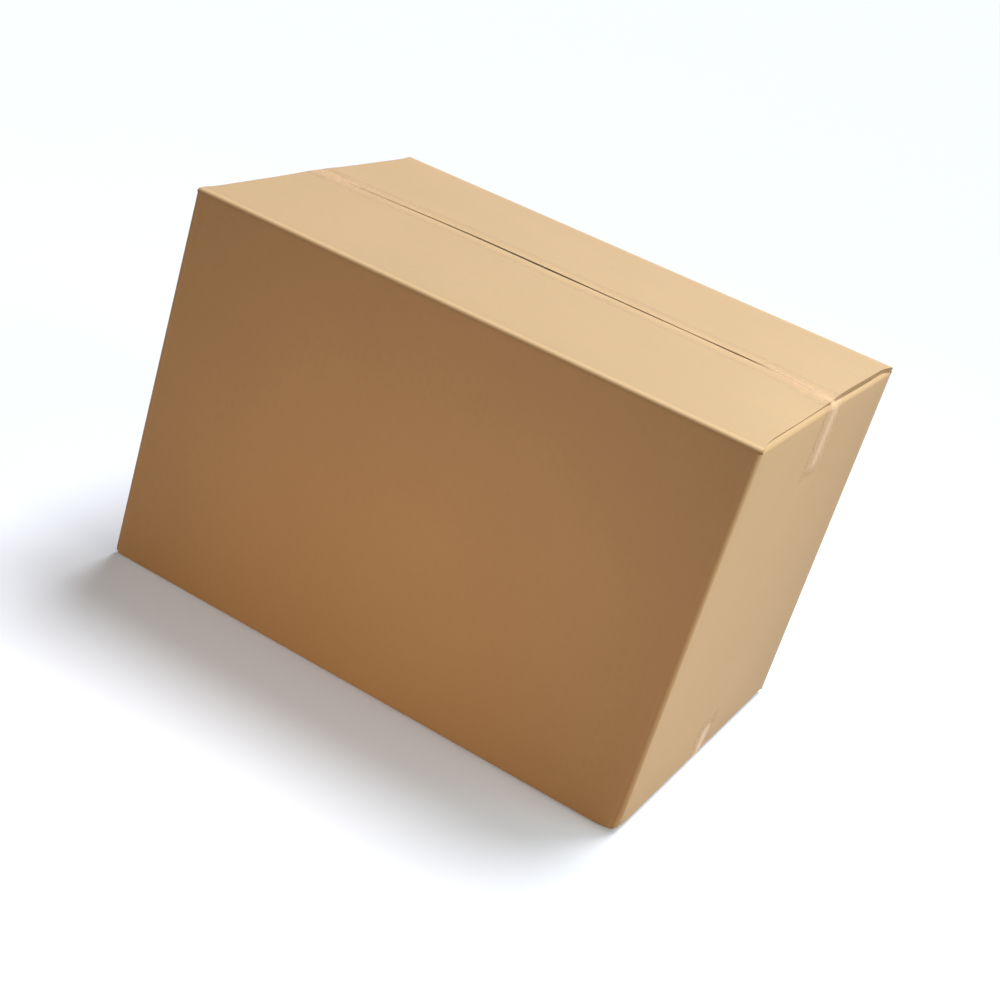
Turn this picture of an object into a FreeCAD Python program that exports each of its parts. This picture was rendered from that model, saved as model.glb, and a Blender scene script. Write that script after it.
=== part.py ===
# A closed shipping carton of single-wall corrugated board, taped top and bottom.
#
# The carton is one folded blank: four walls in a ring, closed by a glued tab inside the
# back left corner, and two flaps on each wall. The end flaps fold in first. The long
# flaps fold over them and meet along the middle, where a strip of clear tape holds them.
#
# Lengths are in millimetres. +X runs along the length, +Y to the back, +Z up. The origin
# is the middle of the footprint, on the surface that the carton stands on.
import FreeCAD
import Part

import math
import os

from FreeCAD import Vector

# Outside sizes of the carton. The height is between the outer faces of the long flaps,
# measured at their creases.
outer_length = 600.0
outer_width = 400.0
outer_height = 400.0

# The board and the inner radii of its folds
board_thickness = 4.0
corner_inner_radius = 0.5
long_flap_inner_radius = 0.5
end_flap_inner_radius = 0.5

# The flaps. The ends of the long ones stand back from the faces of the end walls. Those
# on top spring up as they leave their creases and bend level where the tape holds them,
# so the seam lies higher than the creases. Below, the floor presses them flat.
seam_gap = 2.5
flap_lap_gap = 0.3
long_flap_setback = 1.5
top_flap_rise = 6.0
top_flap_spring_deg = 2.0
top_flap_bend_radius = 200.0

# The glued tab inside the back left corner, set back from the end flaps' creases. The
# glued boards are pressed into each other, and the raw edge of the back wall stops short
# of the corner.
tab_width = 35.0
tab_taper_deg = 15.0
tab_set_back = 1.5
tab_glue_press = 0.3
back_wall_edge_inset = 1.0

# The clear tape. Each strip folds down over both ends of the carton, and its ends show
# the teeth of the cutter.
tape_width = 48.0
tape_thickness = 0.05
tape_edge_radius = 0.3
top_tape_tab = 70.0
bottom_tape_tab = 42.0
tape_tooth_pitch = 3.0
tape_tooth_depth = 1.2

# Sizes that follow from those above
half_length = outer_length / 2
half_width = outer_width / 2
corner_radius = corner_inner_radius + board_thickness
long_flap_radius = long_flap_inner_radius + board_thickness
end_flap_radius = end_flap_inner_radius + board_thickness
end_flap_level = outer_height - board_thickness - flap_lap_gap
wall_top = outer_height - long_flap_radius
wall_bottom = outer_height - wall_top
end_crease_start = end_flap_level - end_flap_radius
tab_top = end_crease_start - tab_set_back
tab_bottom = outer_height - tab_top
long_flap_end = half_length - long_flap_setback
end_flap_side = half_width - long_flap_radius
flap_reach = half_width - seam_gap / 2
mid_height = Vector(0, 0, outer_height / 2)
tool_margin = 10.0


def run(length):
    """A flat stretch of a strip."""
    return ("run", length, 0.0)


def fold(degrees, inner_radius):
    """A bend of a strip towards its inner face."""
    return ("fold", degrees, inner_radius)


def step(degrees, distance):
    """The way of that length in that direction, as u and v."""
    angle = math.radians(degrees)
    return distance * math.cos(angle), distance * math.sin(angle)


def seen_from_above(u, v):
    return Vector(u, v, 0)


def across_length(u, v):
    """A point of a section along the carton, with u out to the right and v up."""
    return Vector(u, 0, v)


def across_width(u, v):
    """A point of a section across the carton, with u out to the front and v up."""
    return Vector(0, -u, v)


def line(start, end, place):
    return Part.makeLine(place(*start), place(*end))


def arc(centre, radius, from_deg, to_deg, place):
    points = []
    for degrees in (from_deg, (from_deg + to_deg) / 2, to_deg):
        du, dv = step(degrees, radius)
        points.append(place(centre[0] + du, centre[1] + dv))
    return Part.Arc(*points).toShape()


def strip_section(start, heading, moves, thickness, place):
    """The section of a folded strip, walked from start along its outer face.

    The inner face is on the left of the walk, and every fold turns to that side.
    """

    def inner_side(point, direction):
        du, dv = step(direction + 90, thickness)
        return point[0] + du, point[1] + dv

    here = start
    edges = [line(here, inner_side(here, heading), place)]
    for kind, amount, inner_radius in moves:
        if kind == "run":
            du, dv = step(heading, amount)
            there = (here[0] + du, here[1] + dv)
            edges.append(line(here, there, place))
            edges.append(line(inner_side(here, heading), inner_side(there, heading), place))
            here = there
            continue
        outer_radius = inner_radius + thickness
        du, dv = step(heading + 90, outer_radius)
        centre = (here[0] + du, here[1] + dv)
        first, last = heading - 90, heading - 90 + amount
        edges.append(arc(centre, outer_radius, first, last, place))
        edges.append(arc(centre, inner_radius, first, last, place))
        du, dv = step(last, outer_radius)
        here = (centre[0] + du, centre[1] + dv)
        heading += amount
    edges.append(line(here, inner_side(here, heading), place))
    return Part.Face(Part.Wire(Part.__sortEdges__(edges)))


def across(section, axis, half_extent):
    """The section made solid for that far to both sides along the axis."""
    start = section.copy()
    start.translate(axis * -half_extent)
    return start.extrude(axis * (2 * half_extent))


def prism(corners, axis, place, half_extent):
    """A straight-sided block with the outline through those corners."""
    points = [place(*corner) for corner in corners]
    return across(Part.Face(Part.makePolygon(points + points[:1])), axis, half_extent)


def mirror_length(shape):
    return shape.mirror(Vector(0, 0, 0), Vector(1, 0, 0))


def mirror_width(shape):
    return shape.mirror(Vector(0, 0, 0), Vector(0, 1, 0))


def mirror_height(shape):
    return shape.mirror(mid_height, Vector(0, 0, 1))


def raised(section):
    """The walls' section, as a solid between the slots of the upper and lower flaps."""
    low = section.copy()
    low.translate(Vector(0, 0, wall_bottom))
    return low.extrude(Vector(0, 0, wall_top - wall_bottom))


def tab_fold_y():
    """Where the left wall ends and the fold of the glued tab begins."""
    return half_width - board_thickness + tab_glue_press - corner_radius


def walls():
    """The left, front, right and back walls, up to the raw edge at the back left."""
    corner = fold(90, corner_inner_radius)
    start = (-half_length, tab_fold_y())
    moves = [
        run(tab_fold_y() + half_width - corner_radius),
        corner,
        run(outer_length - 2 * corner_radius),
        corner,
        run(outer_width - 2 * corner_radius),
        corner,
        run(outer_length - corner_radius - back_wall_edge_inset),
    ]
    return raised(strip_section(start, 270, moves, board_thickness, seen_from_above))


def glued_tab():
    """The tab on the left wall, folded in behind the back wall and tapered at its ends."""
    tab_edge = -half_length + tab_width
    start = (tab_edge, tab_fold_y() + corner_radius)
    moves = [run(tab_width - corner_radius), fold(90, corner_inner_radius)]
    tab = raised(strip_section(start, 180, moves, board_thickness, seen_from_above))
    root = -half_length + corner_radius
    taper = (tab_width - corner_radius) * math.tan(math.radians(tab_taper_deg))
    outline = [
        (-half_length - tool_margin, wall_bottom),
        (root, wall_bottom),
        (root, tab_bottom),
        (tab_edge, tab_bottom + taper),
        (tab_edge, tab_top - taper),
        (root, tab_top),
        (root, wall_top),
        (-half_length - tool_margin, wall_top),
    ]
    return tab.common(prism(outline, Vector(0, 1, 0), across_length, outer_width))


def end_notches():
    """The room over and under the end walls, where the end flaps fold in between the slots."""
    outline = [
        (half_length - corner_radius, end_crease_start),
        (half_length + tool_margin, end_crease_start),
        (half_length + tool_margin, outer_height),
        (half_length - corner_radius, outer_height),
    ]
    upper = prism(outline, Vector(0, 1, 0), across_length, end_flap_side)
    lower = mirror_height(upper)
    return [upper, mirror_length(upper), lower, mirror_length(lower)]


def sprung_moves():
    """The way of an upper long flap from its crease until it lies level, and its reach."""
    spring = math.radians(top_flap_spring_deg)
    bend = top_flap_bend_radius + board_thickness
    drop = 1 - math.cos(spring)
    slope = (top_flap_rise + (long_flap_radius - bend) * drop) / math.sin(spring)
    reach = long_flap_radius + slope * math.cos(spring) + (bend - long_flap_radius) * math.sin(spring)
    moves = [
        fold(90 - top_flap_spring_deg, long_flap_inner_radius),
        run(slope),
        fold(top_flap_spring_deg, top_flap_bend_radius),
    ]
    return moves, reach


def long_flap(moves, reach):
    """A flap of the front wall, nearly as long as the carton."""
    start = (half_width, wall_top)
    moves = moves + [run(flap_reach - reach)]
    section = strip_section(start, 90, moves, board_thickness, across_width)
    return across(section, Vector(1, 0, 0), long_flap_end)


def end_flap():
    """A flap of the right wall, which passes under the long flaps between their creases."""
    start = (half_length, end_crease_start)
    moves = [fold(90, end_flap_inner_radius), run(flap_reach - end_flap_radius)]
    section = strip_section(start, 90, moves, board_thickness, across_length)
    return across(section, Vector(0, 1, 0), end_flap_side)


def carton():
    """The whole blank, folded shut and glued at the tab."""
    upper_flap = long_flap(*sprung_moves())
    lower_flap = mirror_height(long_flap([fold(90, long_flap_inner_radius)], long_flap_radius))
    upper_end = end_flap()
    lower_end = mirror_height(upper_end)
    ring = walls().fuse(glued_tab()).cut(end_notches())
    flaps = []
    for flap in (upper_flap, lower_flap):
        flaps += [flap, mirror_width(flap)]
    for flap in (upper_end, lower_end):
        flaps += [flap, mirror_length(flap)]
    return ring.multiFuse(flaps).removeSplitter()


def tape_moves(flap_top, tab):
    """The way of a strip from the end of its right tab, over the top, to its left tab.

    Between the end wall's crease and the cut edge of the long flaps the tape is taut.
    """
    wall_radius = end_flap_radius
    along = long_flap_end - (half_length - end_flap_radius)
    up = flap_top - tape_edge_radius - end_crease_start
    apart = math.hypot(along, up)
    narrowing = wall_radius - tape_edge_radius
    lean = math.degrees(math.atan2(up, along) + math.asin(narrowing / apart)) - 90
    taut = math.sqrt(apart**2 - narrowing**2)
    return [
        run(tab),
        fold(lean, wall_radius),
        run(taut),
        fold(90 - lean, tape_edge_radius),
        run(2 * long_flap_end),
        fold(90 - lean, tape_edge_radius),
        run(taut),
        fold(lean, wall_radius),
        run(tab),
    ]


def cutter_teeth(level):
    """What the toothed cutter takes off the end of a tab that reaches down to level."""
    count = round(tape_width / tape_tooth_pitch)
    pitch = tape_width / count
    outline = [(-tape_width / 2, level)]
    for tooth in range(count):
        left = -tape_width / 2 + tooth * pitch
        outline.append((left + pitch / 2, level + tape_tooth_depth))
        outline.append((left + pitch, level))
    outline.append((tape_width / 2, level - tool_margin))
    outline.append((-tape_width / 2, level - tool_margin))
    return prism(outline, Vector(1, 0, 0), across_width, outer_length)


def tape(flap_top, tab):
    """A strip of tape along the upper seam and down over both end walls."""
    level = end_crease_start - tab
    start = (half_length + tape_thickness, level)
    moves = tape_moves(flap_top, tab)
    section = strip_section(start, 90, moves, tape_thickness, across_length)
    strip = across(section, Vector(0, 1, 0), tape_width / 2)
    return strip.cut(cutter_teeth(level))


def save(shape, name):
    """Write the shape, lifted so that the lower tape lies on the floor."""
    placed = shape.copy()
    placed.translate(Vector(0, 0, tape_thickness))
    placed.exportStep("parts/" + name + ".step")


os.makedirs("parts", exist_ok=True)
save(carton(), "carton")
save(tape(outer_height + top_flap_rise, top_tape_tab), "top_tape")
save(mirror_height(tape(outer_height, bottom_tape_tab)), "bottom_tape")
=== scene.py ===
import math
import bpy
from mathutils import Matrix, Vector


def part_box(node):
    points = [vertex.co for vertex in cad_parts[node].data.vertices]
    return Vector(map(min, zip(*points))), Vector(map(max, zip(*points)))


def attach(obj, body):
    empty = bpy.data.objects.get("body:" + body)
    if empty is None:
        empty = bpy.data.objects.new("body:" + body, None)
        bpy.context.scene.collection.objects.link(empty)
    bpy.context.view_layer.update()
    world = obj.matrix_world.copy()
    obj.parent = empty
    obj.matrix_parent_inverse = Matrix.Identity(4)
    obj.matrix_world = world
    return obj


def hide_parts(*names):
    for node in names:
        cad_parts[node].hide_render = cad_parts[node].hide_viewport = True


bl_info = {
    "name": "Taped Shipping Carton",
    "version": (1, 0, 0),
    "blender": (4, 5, 0),
    "location": "3D View > Sidebar > Carton",
    "description": "Folds a corrugated shipping carton, tapes it shut and lights it in a pale studio",
    "category": "Object",
}

import bmesh
import bpy
from mathutils import Matrix, Quaternion, Vector, noise

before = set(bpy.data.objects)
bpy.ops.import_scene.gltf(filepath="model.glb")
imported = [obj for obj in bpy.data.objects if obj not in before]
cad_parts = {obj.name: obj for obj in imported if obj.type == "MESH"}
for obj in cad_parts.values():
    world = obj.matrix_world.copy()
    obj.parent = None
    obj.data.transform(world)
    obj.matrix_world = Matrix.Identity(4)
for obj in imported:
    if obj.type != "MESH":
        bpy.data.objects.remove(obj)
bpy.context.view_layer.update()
CARTON_LOW, CARTON_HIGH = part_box("carton")
TOP_TAPE_LOW, TOP_TAPE_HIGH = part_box("top_tape")
LOWER_TAPE_LOW, LOWER_TAPE_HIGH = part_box("bottom_tape")

ALONG_X = Vector((1, 0, 0))
ALONG_Y = Vector((0, 1, 0))
UPWARDS = Vector((0, 0, 1))
QUARTER_TURN = math.radians(90)
TOLERANCE = 1e-5

# The Mix node numbers its colour sockets after those for other kinds of data.
FIRST_COLOUR, SECOND_COLOUR, MIXED_COLOUR = 6, 7, 2

# Where the upper seam bows open: the place along it, the reach to each side and the share.
SEAM_OPENINGS = (
    (-0.045, 0.1, 1.0),
    (-0.01, 0.03, 0.35),
    (0.095, 0.02, 0.35),
    (0.19, 0.028, 0.75),
)

# Where the tape comes loose over the ends of the upper seam, painted as a silvery highlight: from, to and
# by how much.
LOOSE_AT_RIGHT = ((0.205, 0.245, 0.45), (0.27, 0.29, 0.3))
LOOSE_AT_LEFT = ((0.15, 0.23, 0.2), (0.235, 0.265, 0.35))
LOOSE_PATCH = ((0.262, 0.272, 0.2),)

# How much lighter the edges of the upper flaps are painted, in bands that end at the seam: partly
# scuffing, partly painted highlight.
RUBBED_AND_HIGHLIT_BANDS = (0.3, 0.65, 0.75)


def length_setting(name, description, default):
    return bpy.props.FloatProperty(
        name=name, description=description, default=default, min=0.0, precision=5, unit="LENGTH"
    )


def angle_setting(name, description, degrees):
    return bpy.props.FloatProperty(
        name=name, description=description, default=math.radians(degrees), subtype="ANGLE"
    )


def place_setting(name, description, default):
    return bpy.props.FloatVectorProperty(
        name=name, description=description, default=default, precision=4, unit="LENGTH"
    )


def factor_setting(name, description, default):
    return bpy.props.FloatProperty(
        name=name, description=description, default=default, min=0.0, max=1.0, subtype="FACTOR"
    )


def colour_setting(name, description, default):
    return bpy.props.FloatVectorProperty(
        name=name, description=description, default=default, min=0.0, max=1.0, size=3, subtype="COLOR"
    )


class CartonBoardSettings(bpy.types.PropertyGroup):
    board_thickness: length_setting("Board", "Thickness of the corrugated board", 0.004)
    corner_radius: length_setting("Corner Fold", "Outer radius of the upright corner folds", 0.0045)
    long_flap_radius: length_setting("Long Flap Fold", "Outer radius of the long flaps' folds", 0.0045)
    end_flap_radius: length_setting("End Flap Fold", "Outer radius of the end flaps' folds", 0.0045)
    end_crease_lift: length_setting("Crease Lift", "How far the upper end creases are pushed up", 0.0034)
    flap_rise: length_setting("Flap Rise", "Height of the upper seam above the folds", 0.006)
    spring: angle_setting("Flap Spring", "Angle at which the upper flaps leave their folds", 2.0)
    bend_radius: length_setting("Flap Bend", "Radius at which an upper flap bends level", 0.204)
    lap_gap: length_setting("Lap Gap", "Room between the end flaps and the long flaps", 0.0003)
    seam_gap: length_setting("Seam Gap", "Room between the long flaps at the seam", 0.0025)
    tab_width: length_setting("Glued Tab", "Width of the tab inside the back left corner", 0.035)
    tab_taper: angle_setting("Tab Taper", "Slope of the tab's ends", 15.0)
    tab_set_back: length_setting("Tab Set Back", "How far the tab ends below the end flaps' folds", 0.0015)
    glue_line: length_setting("Glue Line", "Room between the glued tab and the back wall", 0.00005)
    raw_edge_inset: length_setting("Raw Edge", "How far the back wall stops short of the corner", 0.001)
    grain: length_setting("Mesh Step", "Longest step of the board's mesh", 0.014)
    score_width: length_setting("Score Width", "Width of the crushed band beside a fold", 0.0045)
    score_depth: length_setting("Score Depth", "Depth of the crushed band beside a fold", 0.00012)
    wall_give: length_setting("Wall Give", "How far the walls dip between their edges", 0.0011)
    left_sag: length_setting("Left Sag", "How far the upper flaps sink at the left end", 0.0034)
    front_sag: length_setting("Front Sag", "How far the front upper flap sinks at the right end", 0.0043)
    back_sag: length_setting("Back Sag", "How far the back upper flap sinks at the right end", 0.0014)
    liner: length_setting("Liner", "Thickness of the paper on each side of the flutes", 0.00035)
    edge_hollow: length_setting("Edge Hollow", "Depth of the hollow in a cut edge of the board", 0.0008)
    # The band along the seam is painted lighter: partly scuffing, partly painted highlight.
    edge_wear_and_highlight: length_setting("Edge Wear", "Width of the rubbed band along the seam", 0.018)
    corner_spread: length_setting("Corner Spread", "How far the flaps close over the corners", 0.0035)
    seam_bow: length_setting("Seam Bow", "How far each edge of the upper seam bows open", 0.0013)
    corner_crush: length_setting("Corner Crush", "How far the knocked lower corner is pushed in", 0.0035)
    flute_pitch: length_setting("Flute Pitch", "Distance from one flute to the next", 0.0077)
    kraft: colour_setting("Kraft", "Colour of the kraft liner", (0.575, 0.383, 0.198))
    # The raw edge is darker than the liner: partly the medium's own brown, partly painted shade of the
    # open flutes.
    core: colour_setting("Core", "Colour of the board's raw edge", (0.38, 0.25, 0.135))


class CartonTapeSettings(bpy.types.PropertyGroup):
    thickness: length_setting("Film", "Thickness of the tape", 0.00005)
    lift: length_setting("Glue", "Room between the tape and the board", 0.00002)
    edge_radius: length_setting("Edge Fold", "Radius of the tape over the flaps' cut edges", 0.00035)
    tooth_pitch: length_setting("Tooth Pitch", "Distance between the teeth of the cut ends", 0.003)
    tooth_depth: length_setting("Tooth Depth", "Height of the teeth of the cut ends", 0.0012)
    wrinkle: length_setting("Wrinkle", "Height of the wrinkles in the right tabs", 0.0003)
    wrinkle_width: length_setting("Wrinkle Width", "Reach of a wrinkle to each side", 0.0115)
    air_width: length_setting("Air Width", "Reach of the air under a wrinkle to each side", 0.015)
    upper_wrinkle: length_setting("Upper Wrinkle", "Length of the upper tab's wrinkle", 0.076)
    lower_wrinkle: length_setting("Lower Wrinkle", "Length of the lower tab's wrinkle", 0.045)
    film: colour_setting("Film Colour", "Colour that the tape adds to the board", (0.74, 0.56, 0.37))
    # Air under the tape is shown as a painted silvery highlight in its colour.
    silver_highlight: colour_setting("Silvering", "Colour where air lies under the tape", (0.98, 0.71, 0.45))
    cover: factor_setting("Cover", "How much the tape hides what lies under it", 0.05)


class CartonStudioSettings(bpy.types.PropertyGroup):
    camera_place: place_setting("Camera", "Where the camera stands", (0.6276, -1.5652, 0.8858))
    camera_aim: place_setting("Aim", "The point that the camera looks at", (-0.0114, 0.0576, 0.1319))
    camera_roll: angle_setting("Roll", "Turn of the camera about its own axis", 17.913)
    lens: bpy.props.FloatProperty(
        name="Lens", description="Focal length of the camera", default=63.755, unit="CAMERA"
    )
    floor_reach: length_setting("Floor", "How far the floor runs to each side", 12.0)
    floor_drop: length_setting("Floor Drop", "How far the floor lies below the carton's foot", 0.0002)
    floor_tint: colour_setting("Floor Tint", "Colour of the floor as it is seen", (0.81, 0.845, 0.94))
    floor_bounce: colour_setting("Bounce", "Colour of the light off the floor", (0.22, 0.19, 0.165))
    floor_glow: colour_setting("Floor Glow", "Colour of the seen floor's own light", (0.88, 0.95, 1.0))
    glow_strength: factor_setting("Glow", "Strength of the seen floor's own light", 0.22)
    room_tint: colour_setting("Room Tint", "Colour of the light that the room throws", (1.0, 0.80, 0.55))
    room_strength: factor_setting("Room", "Strength of the light that the room throws", 0.035)


class Value:
    """A socket of a finish, which the usual signs of arithmetic work on."""

    def __init__(self, finish, socket):
        self.finish = finish
        self.socket = socket

    def __add__(self, other):
        return self.finish.math("ADD", self, other)

    def __radd__(self, other):
        return self.finish.math("ADD", other, self)

    def __sub__(self, other):
        return self.finish.math("SUBTRACT", self, other)

    def __mul__(self, other):
        return self.finish.math("MULTIPLY", self, other)


class Finish:
    """The nodes of a material or of the world, which its expressions add."""

    def __init__(self, owner):
        self.owner = owner
        owner.use_nodes = True
        self.tree = owner.node_tree
        self.tree.nodes.clear()

    def node(self, kind, settings=None, inputs=None, output=0):
        """Add one node, with its settings and then its sockets, and return an output."""
        added = self.tree.nodes.new(kind)
        for name, setting in (settings or {}).items():
            setattr(added, name, setting)
        for key, value in (inputs or {}).items():
            if isinstance(value, Value):
                self.tree.links.new(value.socket, added.inputs[key])
            else:
                added.inputs[key].default_value = value
        return Value(self, added.outputs[output])

    def math(self, operation, first, second=0.0):
        return self.node("ShaderNodeMath", {"operation": operation}, {0: first, 1: second})

    def stretched(self, vector, scale):
        """The vector with each of its parts multiplied by that of the scale."""
        return self.node("ShaderNodeVectorMath", {"operation": "MULTIPLY"}, {0: vector, 1: scale})

    def noise(self, vector, scale=1.0, detail=2.0, roughness=0.5):
        return self.node(
            "ShaderNodeTexNoise",
            None,
            {"Vector": vector, "Scale": scale, "Detail": detail, "Roughness": roughness},
        )

    def between(self, value, low, high, start=0.0):
        """The value's place between low and high, as a smooth step from start to 1."""
        return self.node(
            "ShaderNodeMapRange",
            {"interpolation_type": "SMOOTHSTEP"},
            {"Value": value, "From Min": low, "From Max": high, "To Min": start, "To Max": 1.0},
        )

    def mix(self, factor, first, second):
        """Two colours mixed by the factor."""
        colours = [c if isinstance(c, Value) else (*c, 1.0) for c in (first, second)]
        inputs = {0: factor, FIRST_COLOUR: colours[0], SECOND_COLOUR: colours[1]}
        return self.node("ShaderNodeMix", {"data_type": "RGBA"}, inputs, MIXED_COLOUR)

    def bump(self, height, depth):
        """A normal bent by the height, where 1 stands that many metres proud."""
        return self.node("ShaderNodeBump", None, {"Height": height, "Distance": depth})

    def attribute(self, name):
        return self.node("ShaderNodeAttribute", {"attribute_name": name}, None, "Fac")

    def show(self, shader, output="ShaderNodeOutputMaterial"):
        """Lead the shader to the output, and return the material or the world."""
        shown = self.tree.nodes.new(output)
        self.tree.links.new(shader.socket, shown.inputs["Surface"])
        return self.owner


class Sheet:
    """Board or tape grown row by row. Its layers keep each vertex's way over the flat sheet."""

    def __init__(self):
        self.mesh = bmesh.new()
        layers = self.mesh.verts.layers.float
        self.across = layers.new("across")
        self.along = layers.new("along")
        # How much lighter the board is painted at a vertex: scuffing and a painted highlight on folds and
        # seam edges.
        self.fold = layers.new("fold")
        self.dent = layers.new("dent")
        # How loose the tape lies at a vertex, which its finish paints as a silvery highlight.
        self.loose = layers.new("loose")

    def first_row(self, start, heading, lengths, longest_step, layer):
        """A straight row of edges, from which the sheet grows."""
        vert = bmesh.ops.create_vert(self.mesh, co=start)["vert"][0]
        row = []
        for length in lengths:
            steps = max(1, round(length / longest_step))
            for _ in range(steps):
                grown = bmesh.ops.extrude_vert_indiv(self.mesh, verts=[vert])
                vert = grown["verts"][0]
                bmesh.ops.translate(self.mesh, verts=[vert], vec=heading * (length / steps))
                vert[layer] += length / steps
                row += grown["edges"]
        return row

    def edges_where(self, test):
        """The edges with a place that passes the test at both ends."""
        return [edge for edge in self.mesh.edges if all(test(vert.co) for vert in edge.verts)]

    def face_outwards(self, centre):
        """Turn every face of the open sheet away from the object's middle."""
        bmesh.ops.recalc_face_normals(self.mesh, faces=self.mesh.faces)
        widest = max(self.mesh.faces, key=lambda face: face.calc_area())
        if widest.normal.dot(widest.calc_center_median() - centre) < 0:
            bmesh.ops.reverse_faces(self.mesh, faces=self.mesh.faces)
        self.mesh.normal_update()

    def thicken(self, thickness):
        """Give the sheet its thickness on the inside, and return the faces of its cut edges."""
        outer = set(self.mesh.verts)
        bmesh.ops.solidify(self.mesh, geom=self.mesh.faces[:], thickness=thickness)
        rims = []
        for face in self.mesh.faces:
            outside = [vert in outer for vert in face.verts]
            if any(outside) and not all(outside):
                rims.append(face)
        return rims

    def finish(self, name, finishes, sharp_angle):
        """Make the sheet an object, with its way across and along it as its UV map."""
        uv = self.mesh.loops.layers.uv.new("Sheet")
        for face in self.mesh.faces:
            face.smooth = True
            for loop in face.loops:
                loop[uv].uv = (loop.vert[self.across], loop.vert[self.along])
        mesh = bpy.data.meshes.new(name)
        self.mesh.to_mesh(mesh)
        self.mesh.free()
        mesh.set_sharp_from_angle(angle=sharp_angle)
        for finish in finishes:
            mesh.materials.append(finish)
        piece = bpy.data.objects.new(name, mesh)
        bpy.context.scene.collection.objects.link(piece)
        return piece


class Walk:
    """A row of a sheet on its way: it runs straight on, or folds towards the inside."""

    def __init__(self, sheet, row, heading, inward, layer, sense=1):
        self.sheet = sheet
        self.row = row
        self.heading = heading.copy()
        self.inward = inward.copy()
        self.layer = layer
        self.sense = sense

    def extend(self, move, length, folded=0.0, dent=0.0):
        grown = bmesh.ops.extrude_edge_only(self.sheet.mesh, edges=self.row)["geom"]
        verts = [item for item in grown if isinstance(item, bmesh.types.BMVert)]
        self.row = [item for item in grown if isinstance(item, bmesh.types.BMEdge)]
        bmesh.ops.transform(self.sheet.mesh, matrix=move, verts=verts)
        for vert in verts:
            vert[self.layer] += self.sense * length
            # Paint this row lighter by that share: scuffing and painted highlight.
            vert[self.sheet.fold] = folded
            vert[self.sheet.dent] = dent

    def run(self, length, longest_step):
        if length < TOLERANCE:
            return
        steps = max(1, round(length / longest_step))
        move = Matrix.Translation(self.heading * (length / steps))
        for _ in range(steps):
            self.extend(move, length / steps)

    def scored_run(self, length, wear_and_highlight=0.12):
        """A short run with the crushed band that a scoring wheel leaves beside a fold, painted lighter by
        the given share of scuffing and painted highlight.
        """
        steps = 6
        move = Matrix.Translation(self.heading * (length / steps))
        for step in range(1, steps + 1):
            band = math.sin(math.pi * step / steps) ** 2
            self.extend(move, length / steps, folded=wear_and_highlight * band, dent=band)

    def bend(self, angle, radius, steps, wear_and_highlight=0.0):
        """A turn towards the inside, with that outer radius, painted lighter most past its middle: partly
        scuffing, partly a painted highlight where light falls on the fold.
        """
        centre = self.row[0].verts[0].co + self.inward * radius
        axis = self.heading.cross(self.inward)
        turn = Matrix.Rotation(angle / steps, 4, axis)
        move = Matrix.Translation(centre) @ turn @ Matrix.Translation(-centre)
        for step in range(1, steps + 1):
            # Lightest towards the end of the turn, where the light falls on the fold: a painted highlight,
            # with some scuffing.
            rubbed_and_highlit = math.sin(math.pi * (step / (steps + 1)) ** 2)
            self.extend(move, radius * angle / steps, folded=wear_and_highlight * rubbed_and_highlit)
        whole = Matrix.Rotation(angle, 3, axis)
        self.heading = whole @ self.heading
        self.inward = whole @ self.inward


def smooth_step(value, low, high):
    part = min(1.0, max(0.0, (value - low) / (high - low)))
    return part * part * (3 - 2 * part)


def ridge(distance, width):
    return math.exp(-((distance / width) ** 2))


def uneven(place, share):
    """A factor that wanders with the place by that share to each side, and is 1 at most."""
    return 1 - share + share * noise.noise(place)


def tinted(colour, factor):
    return tuple(min(1.0, part * factor) for part in colour)


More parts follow.
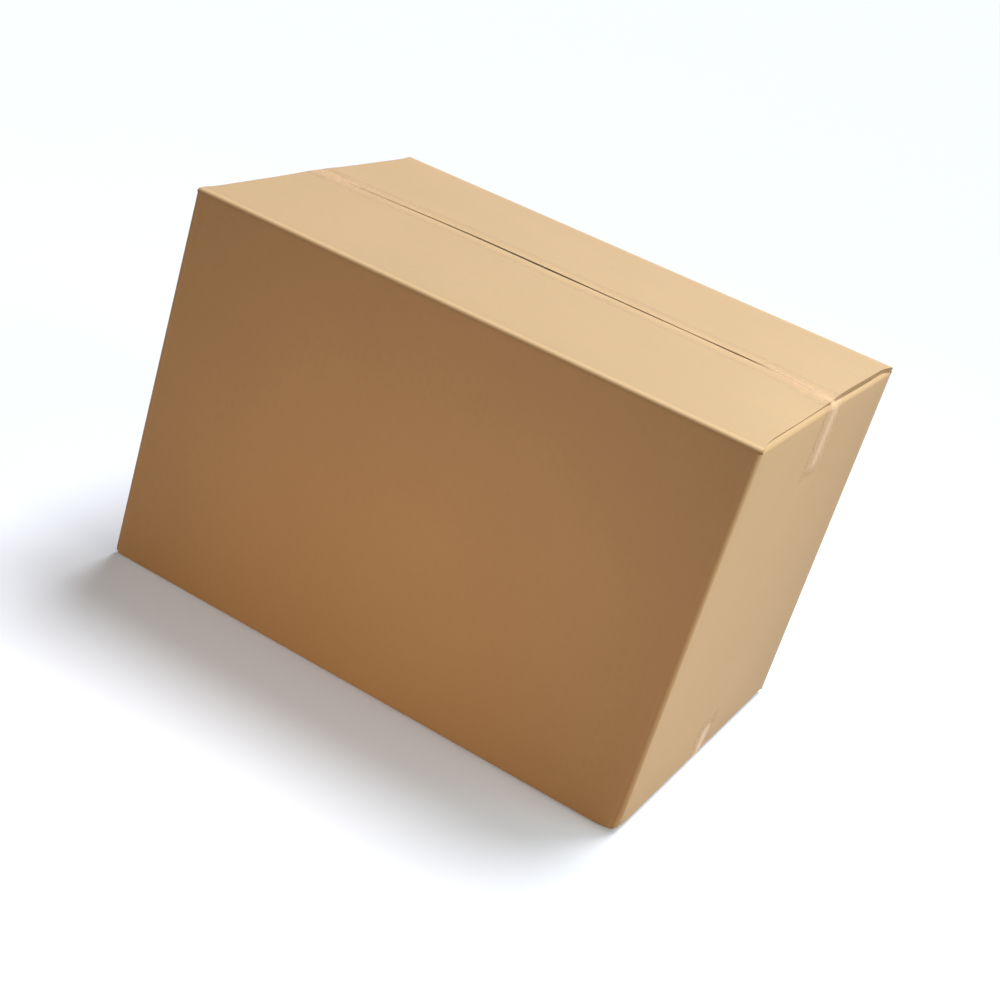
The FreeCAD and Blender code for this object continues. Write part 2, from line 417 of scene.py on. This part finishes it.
class CartonPlan:
    """The levels and ends that the board and the tape share, from the frame's box."""

    def __init__(self, board):
        self.middle = (CARTON_LOW + CARTON_HIGH) / 2
        self.low = CARTON_LOW.z
        self.fold_level = CARTON_HIGH.z - board.flap_rise
        self.middle.z = (self.low + self.fold_level) / 2
        self.half_length = CARTON_HIGH.x
        self.half_width = CARTON_HIGH.y
        self.end_flap_level = self.fold_level - board.board_thickness - board.lap_gap
        self.wall_top = self.fold_level - board.long_flap_radius
        self.wall_bottom = self.low + self.fold_level - self.wall_top
        self.end_start = self.end_flap_level - board.end_flap_radius
        self.tab_top = self.end_start - board.tab_set_back
        self.wall_end = self.half_length - board.corner_radius
        self.end_side = self.half_width - board.long_flap_radius
        self.flap_reach = self.half_width - board.seam_gap / 2
        self.tab_fold = self.half_width - board.board_thickness - board.glue_line - board.corner_radius

    def wall_dip(self, place, board):
        """How far a point of a wall moves inwards, so that the walls aren't dead flat."""
        off_wall = 0.0002
        fullness = 0.6
        ripples_per_metre = 9.0
        ripple_share = 0.38
        height = (place.z - self.low) / (self.fold_level - self.low)
        upright = math.sin(math.pi * min(1.0, max(0.0, height)))
        across_x = math.cos(math.pi / 2 * place.x / self.half_length)
        across_y = math.cos(math.pi / 2 * place.y / self.half_width)
        ripple = uneven(place * ripples_per_metre, ripple_share)
        dip = Vector((0, 0, 0))
        if abs(abs(place.y) - self.half_width) < off_wall:
            dip.y = -math.copysign(max(0.0, upright * across_x) ** fullness * ripple, place.y)
        if abs(abs(place.x) - self.half_length) < off_wall:
            dip.x = -math.copysign(max(0.0, upright * across_y) ** fullness * ripple, place.x)
        return dip * board.wall_give

    def lid_dip(self, place, board):
        """How far the sprung upper flaps sink towards their ends, on the right most in front."""
        left_start = 0.08
        right_start = 0.225
        seam_side = 0.03
        twist_end = 0.06
        slack = 0.0004
        ripple_height = 0.0002
        ripples = Vector((place.x * 7.0, place.y * 9.0, 4.0))
        left = board.left_sag * smooth_step(-place.x, left_start, self.half_length)
        twist = smooth_step(place.y, -seam_side, twist_end)
        right = board.front_sag + (board.back_sag - board.front_sag) * twist
        right *= smooth_step(place.x, right_start, self.half_length)
        front = slack * smooth_step(-place.y, 0.0, seam_side)
        front *= smooth_step(place.x, 0.0, self.half_length)
        ripple = ripple_height * (1 + noise.noise(ripples))
        return left + right + front + ripple

    def crease_lift(self, place, board):
        """How far an end wall's upper crease is pushed up, most towards the front."""
        sunk_share = 0.9
        sunk_start = -0.02
        sunk_end = 0.14
        lift_start = 0.3
        sunk = sunk_share * smooth_step(place.y, sunk_start, sunk_end)
        return board.end_crease_lift * (1 - sunk) * smooth_step(place.z, lift_start, self.end_start)


def grow_ring(sheet, plan, board):
    """The glued tab and the four walls, swept round from the tab's free edge."""
    tab_edge = -plan.half_length + board.tab_width
    start = Vector((tab_edge, plan.tab_fold + board.corner_radius, plan.wall_bottom))
    post = plan.wall_top - plan.end_start
    heights = (post, plan.wall_top - plan.wall_bottom - 2 * post, post)
    row = sheet.first_row(start, UPWARDS, heights, board.grain, sheet.along)
    walk = Walk(sheet, row, -ALONG_X, -ALONG_Y, sheet.across)
    step_up = 0.0005
    walk.run(board.tab_width - board.corner_radius - step_up, board.grain)
    taper_tab(sheet, plan, board)
    walk.run(step_up, board.grain)
    straighten(sheet, walk, plan)
    slot_step = plan.half_width - board.corner_radius - plan.end_side
    walk.bend(QUARTER_TURN, board.corner_radius, steps=7)
    walk.scored_run(board.score_width)
    walk.run(plan.tab_fold + plan.end_side - board.score_width, board.grain)
    walk.run(slot_step, board.grain)
    walk.bend(QUARTER_TURN, board.corner_radius, steps=7)
    grow_wall(walk, 2 * plan.wall_end, board)
    walk.bend(QUARTER_TURN, board.corner_radius, steps=7)
    walk.run(slot_step, board.grain)
    grow_wall(walk, 2 * plan.end_side, board)
    walk.run(slot_step, board.grain)
    walk.bend(QUARTER_TURN, board.corner_radius, steps=7)
    grow_wall(walk, 2 * plan.wall_end, board)
    walk.run(board.corner_radius - board.raw_edge_inset, board.grain)


def taper_tab(sheet, plan, board):
    """Slope the upper and lower ends of the tab, while it is all that there is of the sheet."""
    for vert in sheet.mesh.verts:
        out = vert.co.x + plan.half_length - board.corner_radius
        half_height = plan.tab_top - plan.middle.z - out * math.tan(board.tab_taper)
        shortened = half_height / (plan.wall_top - plan.middle.z)
        vert.co.z = plan.middle.z + (vert.co.z - plan.middle.z) * shortened


def straighten(sheet, walk, plan):
    """Bring the tab's last row back to the walls' full height."""
    for edge in walk.row:
        for vert in edge.verts:
            vert.co.z = plan.wall_bottom + vert[sheet.along]


def notch_end_walls(sheet, plan):
    """Cut the end walls down to where the end flaps' folds begin, between the slots."""
    surplus = []
    for face in sheet.mesh.faces:
        on_end = all(abs(vert.co.x) > plan.half_length - TOLERANCE for vert in face.verts)
        between = all(abs(vert.co.y) < plan.end_side + TOLERANCE for vert in face.verts)
        height = abs(face.calc_center_median().z - plan.middle.z)
        if on_end and between and height > plan.end_start - plan.middle.z:
            surplus.append(face)
    bmesh.ops.delete(sheet.mesh, geom=surplus, context="FACES")


def grow_wall(walk, length, board):
    walk.scored_run(board.score_width)
    walk.run(length - 2 * board.score_width, board.grain)
    walk.scored_run(board.score_width)


def grow_long_flaps(sheet, plan, board):
    """The outer flaps: those on top spring up before they lie level, those below lie flat."""
    drop = 1 - math.cos(board.spring)
    climb = board.flap_rise + (board.long_flap_radius - board.bend_radius) * drop
    slope = climb / math.sin(board.spring)
    band = board.edge_wear_and_highlight / len(RUBBED_AND_HIGHLIT_BANDS)
    for side in (-1, 1):
        def on_wall(place):
            on_face = place.y * side > plan.half_width - TOLERANCE
            return on_face and abs(place.x) < plan.wall_end + TOLERANCE

        inward = ALONG_Y * -side
        row = sheet.edges_where(lambda place: on_wall(place) and place.z > plan.wall_top - TOLERANCE)
        walk = Walk(sheet, row, UPWARDS, inward, sheet.along)
        # The upper folds and the scored bands beyond them are painted lighter: a painted highlight along
        # the lid's edges, with some scuffing.
        walk.bend(QUARTER_TURN - board.spring, board.long_flap_radius, steps=8, wear_and_highlight=1.0)
        walk.scored_run(board.score_width, wear_and_highlight=0.9)
        walk.run(slope - board.score_width, board.grain)
        walk.bend(board.spring, board.bend_radius, steps=3)
        walk.run(abs(walk.row[0].verts[0].co.y) - board.seam_gap / 2 - board.edge_wear_and_highlight, board.grain)
        # Bands along the seam painted lighter: partly scuffing, partly a painted highlight on the flaps'
        # edges.
        for rubbed_and_highlit in RUBBED_AND_HIGHLIT_BANDS:
            walk.extend(Matrix.Translation(inward * band), band, rubbed_and_highlit)
        row = sheet.edges_where(lambda place: on_wall(place) and place.z < plan.wall_bottom + TOLERANCE)
        walk = Walk(sheet, row, -UPWARDS, inward, sheet.along, -1)
        walk.bend(QUARTER_TURN, board.long_flap_radius, steps=8, wear_and_highlight=1.0)
        walk.scored_run(board.score_width)
        walk.run(plan.flap_reach - board.long_flap_radius - board.score_width, board.grain)


def grow_end_flaps(sheet, plan, board):
    """The inner flaps, which pass under the long flaps between their folds."""
    for side in (-1, 1):
        def on_wall(place):
            on_face = place.x * side > plan.half_length - TOLERANCE
            return on_face and abs(place.y) < plan.end_side + TOLERANCE

        for heading, sense in ((UPWARDS, 1), (-UPWARDS, -1)):
            level = plan.middle.z + sense * (plan.end_start - plan.middle.z)
            row = sheet.edges_where(lambda place: on_wall(place) and abs(place.z - level) < TOLERANCE)
            walk = Walk(sheet, row, heading, ALONG_X * -side, sheet.along, sense)
            walk.bend(QUARTER_TURN, board.end_flap_radius, steps=7, wear_and_highlight=0.08)
            walk.run(plan.flap_reach - board.end_flap_radius, board.grain)


def on_upper_end(place, plan):
    """Whether a point is on the upper part of an end wall or on the flap folded from it."""
    outside = abs(place.x) > plan.half_length - TOLERANCE
    on_wall = outside and place.z < plan.end_start + TOLERANCE
    on_flap = not outside and plan.end_start < place.z < plan.end_flap_level + TOLERANCE
    return abs(place.y) < plan.end_side + TOLERANCE and (on_wall or on_flap)


def close_corners(sheet, plan, board):
    """Spread the ends of the upper folds over the corners, where the board is pinched shut."""
    end_flap_share = 0.7
    end_flap_reach = 0.012
    end_flap_rise = 0.002
    long_flap_reach = 0.016
    fold_side = 0.005
    spread_side = 0.03
    for vert in sheet.mesh.verts:
        place = vert.co.copy()
        if on_upper_end(place, plan):
            near = smooth_step(abs(place.y), plan.end_side - end_flap_reach, plan.end_side)
            near *= smooth_step(place.z, plan.end_start, plan.end_start + end_flap_rise)
            vert.co.y += math.copysign(near * board.corner_spread * end_flap_share, place.y)
        elif place.z > plan.wall_top + TOLERANCE:
            near = smooth_step(abs(place.x), plan.wall_end - long_flap_reach, plan.wall_end)
            near *= 1 - smooth_step(plan.half_width - abs(place.y), fold_side, spread_side)
            vert.co.x += math.copysign(near * board.corner_spread, place.x)


def settle_board(sheet, plan, board):
    """Give the board its marks of use: crushed scores, dips, raised creases, a bowed seam and a knock."""
    seam_side = 0.05
    knocked = Vector((plan.half_length, -plan.half_width, plan.low))
    knock_core = 0.002
    knock_reach = 0.016
    for vert in sheet.mesh.verts:
        place = vert.co.copy()
        crushed = vert.normal * vert[sheet.dent] * board.score_depth
        vert.co = place - crushed + plan.wall_dip(place, board)
        if on_upper_end(place, plan):
            vert.co.z += plan.crease_lift(place, board)
        raised = smooth_step(place.z, plan.fold_level, plan.fold_level + board.flap_rise)
        vert.co.z -= raised * plan.lid_dip(place, board)
        opening = sum(share * ridge(place.x - middle, reach) for middle, reach, share in SEAM_OPENINGS)
        free = raised * smooth_step(seam_side - abs(place.y), 0.0, seam_side)
        vert.co.y += math.copysign(free * opening * board.seam_bow, place.y)
        near = 1 - smooth_step((place - knocked).length, knock_core, knock_reach)
        vert.co += (plan.middle - knocked).normalized() * near * board.corner_crush


def hollow_rims(sheet, rims, board):
    """Sink the middle of the cut edges between the two liners, by an uneven depth."""
    nicks_per_metre = 90.0
    nick_share = 0.35
    for face in rims:
        face.material_index = 1
    bmesh.ops.inset_region(
        sheet.mesh, faces=rims, thickness=board.liner, depth=0, use_boundary=True, use_even_offset=True
    )
    sheet.mesh.normal_update()
    moves = {}
    for face in rims:
        for vert in face.verts:
            moves.setdefault(vert, Vector((0, 0, 0)))
            moves[vert] += face.normal
    for vert, way in moves.items():
        depth = board.edge_hollow * uneven(vert.co * nicks_per_metre, nick_share)
        vert.co -= way.normalized() * depth


class CARTON_OT_fold_board(bpy.types.Operator):
    """Fold the corrugated blank into the closed carton"""

    bl_idname = "carton.fold_board"
    bl_label = "Fold Board"

    def execute(self, context):
        board = context.scene.carton_board
        plan = CartonPlan(board)
        sheet = Sheet()
        grow_ring(sheet, plan, board)
        notch_end_walls(sheet, plan)
        grow_long_flaps(sheet, plan, board)
        grow_end_flaps(sheet, plan, board)
        sheet.face_outwards(plan.middle)
        close_corners(sheet, plan, board)
        settle_board(sheet, plan, board)
        rims = sheet.thicken(board.board_thickness)
        hollow_rims(sheet, rims, board)
        finishes = [kraft_liner(board), raw_board_edge(board)]
        carton = sheet.finish("folded_carton", finishes, sharp_angle=math.radians(35))
        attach(carton, "root")
        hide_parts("carton")
        return {"FINISHED"}


def grow_tape(flap_top, tab_end, plan, board, tape, width):
    """A strip over the upper seam, from the end of its right tab to the end of its left."""
    sheet = Sheet()
    tooth_steps = 4
    tab_step = 0.002
    taut_step = 0.0015
    top_step = 0.006
    outside = tape.thickness + tape.lift
    start = Vector((plan.half_length + outside, -width / 2, tab_end))
    row = sheet.first_row(start, ALONG_Y, (width,), tape.tooth_pitch / tooth_steps, sheet.across)
    along = plan.wall_end - (plan.half_length - board.end_flap_radius)
    up = flap_top + tape.lift - tape.edge_radius - plan.end_start
    apart = math.hypot(along, up)
    narrowing = board.end_flap_radius + tape.lift - tape.edge_radius
    lean = math.atan2(up, along) + math.asin(narrowing / apart) - QUARTER_TURN
    taut = math.sqrt(apart**2 - narrowing**2)
    wall_radius = board.end_flap_radius + outside
    edge_radius = tape.edge_radius + tape.thickness
    walk = Walk(sheet, row, UPWARDS, -ALONG_X, sheet.along)
    walk.run(plan.end_start - tab_end, tab_step)
    walk.bend(lean, wall_radius, steps=4)
    walk.run(taut, taut_step)
    walk.bend(QUARTER_TURN - lean, edge_radius, steps=5)
    walk.run(2 * plan.wall_end, top_step)
    walk.bend(QUARTER_TURN - lean, edge_radius, steps=5)
    walk.run(taut, taut_step)
    walk.bend(lean, wall_radius, steps=4)
    walk.run(plan.end_start - tab_end, tab_step)
    return sheet


def notch_ends(sheet, tab_end, tape):
    """Give the ends of the tabs the teeth of the cutter."""
    for vert in sheet.mesh.verts:
        if vert.co.z < tab_end + TOLERANCE:
            place = vert[sheet.across] / tape.tooth_pitch
            vert.co.z += tape.tooth_depth * (1 - abs(1 - 2 * (place - math.floor(place))))


def drape_tape(sheet, flap_top, top_tape, plan, board, tape):
    """Lay the strip on the uneven board and press wrinkles into it."""
    for vert in sheet.mesh.verts:
        place = vert.co.copy()
        wall = place.copy()
        on_wall = abs(place.x) > plan.half_length and place.z < plan.end_start
        if on_wall:
            wall.x = math.copysign(plan.half_length, place.x)
            vert.co += plan.wall_dip(wall, board)
        if top_tape:
            raised = smooth_step(place.z, plan.end_start, flap_top)
            vert.co.z -= raised * plan.lid_dip(place, board)
            taken_up = smooth_step(place.z, plan.end_flap_level, flap_top)
            vert.co.z += plan.crease_lift(place, board) * (1 - taken_up)
        lift, loose = looseness(place, plan, tape, top_tape)
        vert.co += vert.normal * lift * tape.wrinkle
        vert[sheet.loose] = loose


def looseness(place, plan, tape, top_tape):
    """The lift of the tape off the board at a point, from 0 to 1, and how loose it lies."""
    fold_inset = 0.004
    if top_tape and place.z > plan.fold_level:
        return 0.0, loose_over_seam(place)
    if place.x < plan.half_length - fold_inset:
        return 0.0, 0.0
    if top_tape:
        down = (plan.fold_level - place.z) / tape.upper_wrinkle
        side = 0.0055
        return wrinkled(place.y - side, down, tape, rooted=(0.06, 0.2), held=(0.82, 0.98), air=0.8)
    up = (place.z - plan.low) / tape.lower_wrinkle
    side = 0.010 * up - 0.0075
    return wrinkled(place.y - side, up, tape, rooted=(0.12, 0.3), held=(0.8, 0.95), air=1.0)


def rising(way, stretches):
    """The sum of the smooth steps over those stretches, each up to its own height."""
    return sum(height * smooth_step(way, start, end) for start, end, height in stretches)


def loose_over_seam(place):
    """How loose the tape lies over the ends of the upper seam, with a patch at the left end; the tape's
    finish paints it as a silvery highlight.
    """
    streak_side = 0.006
    patch_side = 0.014
    streak = rising(place.x, LOOSE_AT_RIGHT) + rising(-place.x, LOOSE_AT_LEFT)
    patch = rising(-place.x, LOOSE_PATCH)
    return max(streak * ridge(place.y, streak_side), patch * ridge(place.y, patch_side))


def wrinkled(aside, way, tape, rooted, held, air):
    """The lift and the looseness beside a wrinkle, which starts and ends over parts of its way."""
    shown = 1 - smooth_step(way, *held)
    lift = ridge(aside, tape.wrinkle_width) * shown * smooth_step(way, *rooted)
    return lift, air * ridge(aside, tape.air_width) * shown


def tape_piece(name, node, flap_top, low, high, context):
    """One strip of tape, on the upper seam or, turned over, on the lower one."""
    board = context.scene.carton_board
    tape = context.scene.carton_tape
    plan = CartonPlan(board)
    top_tape = node == "top_tape"
    width = high.y - low.y
    tab_end = low.z if top_tape else 2 * plan.middle.z - high.z
    sheet = grow_tape(flap_top, tab_end, plan, board, tape, width)
    notch_ends(sheet, tab_end, tape)
    if not top_tape:
        turned = Matrix.Translation((0, 0, 2 * plan.middle.z)) @ Matrix.Diagonal((1, 1, -1, 1))
        bmesh.ops.transform(sheet.mesh, matrix=turned, verts=sheet.mesh.verts)
    sheet.face_outwards(plan.middle)
    drape_tape(sheet, flap_top, top_tape, plan, board, tape)
    sheet.mesh.normal_update()
    sheet.thicken(tape.thickness)
    piece = sheet.finish(name, [clear_tape(tape)], sharp_angle=math.radians(60))
    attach(piece, "root")
    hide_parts(node)


class CARTON_OT_apply_tape(bpy.types.Operator):
    """Stick a strip of clear tape along the upper seam and one along the lower seam"""

    bl_idname = "carton.apply_tape"
    bl_label = "Apply Tape"

    def execute(self, context):
        plan = CartonPlan(context.scene.carton_board)
        upper_box = (TOP_TAPE_LOW, TOP_TAPE_HIGH)
        lower_box = (LOWER_TAPE_LOW, LOWER_TAPE_HIGH)
        tape_piece("upper_seam_tape", "top_tape", CARTON_HIGH.z, *upper_box, context)
        tape_piece("lower_seam_tape", "bottom_tape", plan.fold_level, *lower_box, context)
        return {"FINISHED"}


def kraft_liner(board):
    """Brown kraft liner: clouds, fibres and flecks, with the flutes just showing through, and folds and
    seam edges painted lighter, partly scuffing and partly painted highlight.
    """
    finish = Finish(bpy.data.materials.new("kraft_liner"))
    fibres_per_metre = (420.0, 2600.0, 1.0)
    specks_per_metre = (900.0, 2100.0, 1.0)
    sheet = finish.node("ShaderNodeUVMap", {"uv_map": "Sheet"})
    place = finish.node("ShaderNodeTexCoord", None, None, "Object")
    clouds = finish.noise(place, scale=9.0, detail=3.0, roughness=0.55)
    mottle = finish.noise(place, scale=140.0, detail=3.0, roughness=0.6)
    fibres = finish.noise(finish.stretched(sheet, fibres_per_metre), roughness=0.6)
    specks = finish.noise(finish.stretched(sheet, specks_per_metre), detail=1.0)
    flecks = finish.between(specks, low=0.70, high=0.76)
    pale_specks = finish.between(specks, low=0.30, high=0.25)
    across = finish.node("ShaderNodeSeparateXYZ", None, {0: sheet}, 0)
    flute = finish.math("SINE", across * (2 * math.pi / board.flute_pitch))
    worn_and_highlit = finish.attribute("fold")
    cloudy = (clouds - 0.5) * 0.10
    mottled = (mottle - 0.5) * 0.09
    fibrous = (fibres - 0.5) * 0.13
    tone = 1.0 + cloudy + mottled + fibrous + flute * 0.003
    pale = tinted(board.kraft, 1.45)
    colour = finish.mix(flecks * 0.55, tuple(board.kraft), tinted(board.kraft, 0.55))
    colour = finish.mix(pale_specks * 0.35, colour, pale)
    # Folds and seam edges painted lighter: partly scuffing, partly a painted highlight.
    colour = finish.mix(worn_and_highlit * 0.6, colour, pale)
    colour = finish.node("ShaderNodeVectorMath", {"operation": "SCALE"}, {0: colour, "Scale": tone})
    roughness = 0.60 + (mottle - 0.5) * 0.12 + worn_and_highlit * 0.08
    normal = finish.bump(fibres * 0.10 + mottle * 0.12 + flute * 0.07, depth=0.00016)
    inputs = {"Base Color": colour, "Roughness": roughness, "Normal": normal, "Specular IOR Level": 0.5}
    return finish.show(finish.node("ShaderNodeBsdfPrincipled", None, inputs))


def raw_board_edge(board):
    """The cut edge: the fluted middle in the shade between the two liners, its dark brown partly the
    medium's own and partly painted shade of the open flutes.
    """
    finish = Finish(bpy.data.materials.new("raw_board_edge"))
    place = finish.node("ShaderNodeTexCoord", None, None, "Object")
    fuzz = finish.noise(place, scale=900.0, detail=3.0, roughness=0.7)
    fuzzy = finish.between(fuzz, low=0.4, high=0.7)
    # The dark core colour is partly painted shade of the open flutes.
    colour = finish.mix(fuzzy, tuple(board.core), tinted(board.core, 1.5))
    inputs = {"Base Color": colour, "Roughness": 0.85, "Normal": finish.bump(fuzz, depth=0.0003)}
    return finish.show(finish.node("ShaderNodeBsdfPrincipled", None, inputs))


def clear_tape(tape):
    """Clear film, with a painted silvery highlight where air lies under it."""
    finish = Finish(bpy.data.materials.new("clear_tape"))
    streaks_per_metre = (900.0, 30.0, 1.0)
    patches_per_metre = (160.0, 60.0, 1.0)
    sheet = finish.node("ShaderNodeUVMap", {"uv_map": "Sheet"})
    streaks = finish.noise(finish.stretched(sheet, streaks_per_metre), detail=3.0, roughness=0.6)
    patches = finish.noise(finish.stretched(sheet, patches_per_metre), detail=3.0, roughness=0.65)
    bubbles = finish.between(patches, low=0.68, high=0.82) * 0.2
    air = finish.math("MAXIMUM", finish.attribute("loose"), bubbles)
    # Painted highlight: the silvery reflection of tape lifted off the board.
    silver_highlight_share = finish.between(air, low=0.0, high=0.25)
    inputs = {
        "Base Color": finish.mix(silver_highlight_share, tuple(tape.film), tuple(tape.silver_highlight)),
        "Roughness": 0.34 + streaks * 0.12,
        "Specular IOR Level": 0.3,
        "Alpha": tape.cover + air * 0.8,
        "Normal": finish.bump(streaks * 0.6 + patches * 0.4, depth=0.00008),
        "IOR": 1.45,
    }
    return finish.show(finish.node("ShaderNodeBsdfPrincipled", None, inputs))


def looked_at(finish):
    """1 on a ray from the camera or by way of a mirroring or clear surface, and else 0."""
    straight, mirrored, through = [
        finish.node("ShaderNodeLightPath", None, None, ray)
        for ray in ("Is Camera Ray", "Is Glossy Ray", "Is Transmission Ray")
    ]
    return finish.math("MAXIMUM", straight, finish.math("MAXIMUM", mirrored, through))


def pale_floor(studio):
    """A floor that looks white and keeps the carton's shadow, but throws little light."""
    finish = Finish(bpy.data.materials.new("pale_floor"))
    lit = finish.node("ShaderNodeBsdfDiffuse", None, {"Color": (*studio.floor_tint, 1.0)})
    bounce = finish.node("ShaderNodeBsdfDiffuse", None, {"Color": (*studio.floor_bounce, 1.0)})
    light = {"Color": (*studio.floor_glow, 1.0), "Strength": studio.glow_strength}
    glow = finish.node("ShaderNodeEmission", None, light)
    seen = finish.node("ShaderNodeAddShader", None, {0: lit, 1: glow})
    inputs = {0: looked_at(finish), 1: bounce, 2: seen}
    return finish.show(finish.node("ShaderNodeMixShader", None, inputs))


def lay_floor(studio):
    mesh = bmesh.new()
    bmesh.ops.create_grid(mesh, x_segments=1, y_segments=1, size=studio.floor_reach)
    bmesh.ops.translate(mesh, verts=mesh.verts, vec=-UPWARDS * studio.floor_drop)
    floor_mesh = bpy.data.meshes.new("floor")
    mesh.to_mesh(floor_mesh)
    mesh.free()
    floor_mesh.materials.append(pale_floor(studio))
    floor = bpy.data.objects.new("floor", floor_mesh)
    bpy.context.scene.collection.objects.link(floor)


def light_world(studio):
    """A pale room: white where it is seen or mirrored, dimmer where it lights the carton."""
    finish = Finish(bpy.data.worlds.new("pale_room"))
    seen = looked_at(finish)
    strength = finish.between(seen, low=0.0, high=1.0, start=studio.room_strength)
    colour = finish.mix(seen, studio.room_tint, (1.0, 1.0, 1.0))
    background = finish.node("ShaderNodeBackground", None, {"Color": colour, "Strength": strength})
    bpy.context.scene.world = finish.show(background, "ShaderNodeOutputWorld")


def add_lamp(name, kind, place, power, colour, aim=(0.0, 0.0, 0.2)):
    """A lamp of that kind at that place, turned to the point that it lights."""
    light = bpy.data.lights.new(name, kind)
    light.energy = power
    light.color = colour
    lamp = bpy.data.objects.new(name, light)
    lamp.location = place
    lamp.rotation_euler = (Vector(aim) - Vector(place)).to_track_quat("-Z", "Y").to_euler()
    lamp.visible_camera = False
    bpy.context.scene.collection.objects.link(lamp)
    return light


def light_carton():
    """A soft sun from behind, a lamp at the right, one above, and a warm one low in front."""
    key = add_lamp("key_lamp", "SUN", (0.2, 1.3, 3.1), power=3.2, colour=(0.98, 0.97, 0.96))
    key.angle = math.radians(28)
    side = add_lamp("side_lamp", "AREA", (1.14, -0.19, 0.2), power=3.35, colour=(0.98, 0.88, 0.68))
    side.size = 0.15
    top = add_lamp("top_lamp", "AREA", (0.85, 0.0, 1.2), power=4.9, colour=(0.82, 0.98, 1.0))
    top.size = 0.5
    foot = (0.0, -0.2, -0.02)
    warm = (1.0, 0.66, 0.39)
    fill = add_lamp("fill_lamp", "AREA", (0.0, -0.88, 0.03), power=3.0, colour=warm, aim=foot)
    fill.size = 0.24


def place_camera(studio):
    """Stand the camera at its place, turn it to its aim and roll it about its own axis."""
    camera_data = bpy.data.cameras.new("camera")
    camera_data.lens = studio.lens
    camera = bpy.data.objects.new("camera", camera_data)
    place = Vector(studio.camera_place)
    upright = (Vector(studio.camera_aim) - place).to_track_quat("-Z", "Y")
    rolled = upright @ Quaternion((0, 0, 1), studio.camera_roll)
    camera.matrix_world = Matrix.Translation(place) @ rolled.to_matrix().to_4x4()
    bpy.context.scene.collection.objects.link(camera)
    bpy.context.scene.camera = camera


class CARTON_OT_set_stage(bpy.types.Operator):
    """Lay the floor, light the room and place the camera"""

    bl_idname = "carton.set_stage"
    bl_label = "Set Stage"

    def execute(self, context):
        studio = context.scene.carton_studio
        lay_floor(studio)
        light_world(studio)
        light_carton()
        place_camera(studio)
        context.scene.view_settings.view_transform = "Standard"
        return {"FINISHED"}


class CARTON_PT_sidebar(bpy.types.Panel):
    bl_idname = "CARTON_PT_sidebar"
    bl_label = "Shipping Carton"
    bl_space_type = "VIEW_3D"
    bl_region_type = "UI"
    bl_category = "Carton"

    def draw(self, context):
        scene = context.scene
        for operator in (CARTON_OT_fold_board, CARTON_OT_apply_tape, CARTON_OT_set_stage):
            self.layout.operator(operator.bl_idname)
        for settings in (scene.carton_board, scene.carton_tape, scene.carton_studio):
            column = self.layout.column(align=True)
            for name in settings.bl_rna.properties.keys():
                if name not in {"rna_type", "name"}:
                    column.prop(settings, name)


CLASSES = (
    CartonBoardSettings,
    CartonTapeSettings,
    CartonStudioSettings,
    CARTON_OT_fold_board,
    CARTON_OT_apply_tape,
    CARTON_OT_set_stage,
    CARTON_PT_sidebar,
)


def register():
    for added in CLASSES:
        bpy.utils.register_class(added)
    bpy.types.Scene.carton_board = bpy.props.PointerProperty(type=CartonBoardSettings)
    bpy.types.Scene.carton_tape = bpy.props.PointerProperty(type=CartonTapeSettings)
    bpy.types.Scene.carton_studio = bpy.props.PointerProperty(type=CartonStudioSettings)


def unregister():
    del bpy.types.Scene.carton_studio
    del bpy.types.Scene.carton_tape
    del bpy.types.Scene.carton_board
    for added in reversed(CLASSES):
        bpy.utils.unregister_class(added)


def main():
    register()
    bpy.ops.carton.fold_board()
    bpy.ops.carton.apply_tape()
    bpy.ops.carton.set_stage()


if __name__ == "__main__":
    main()
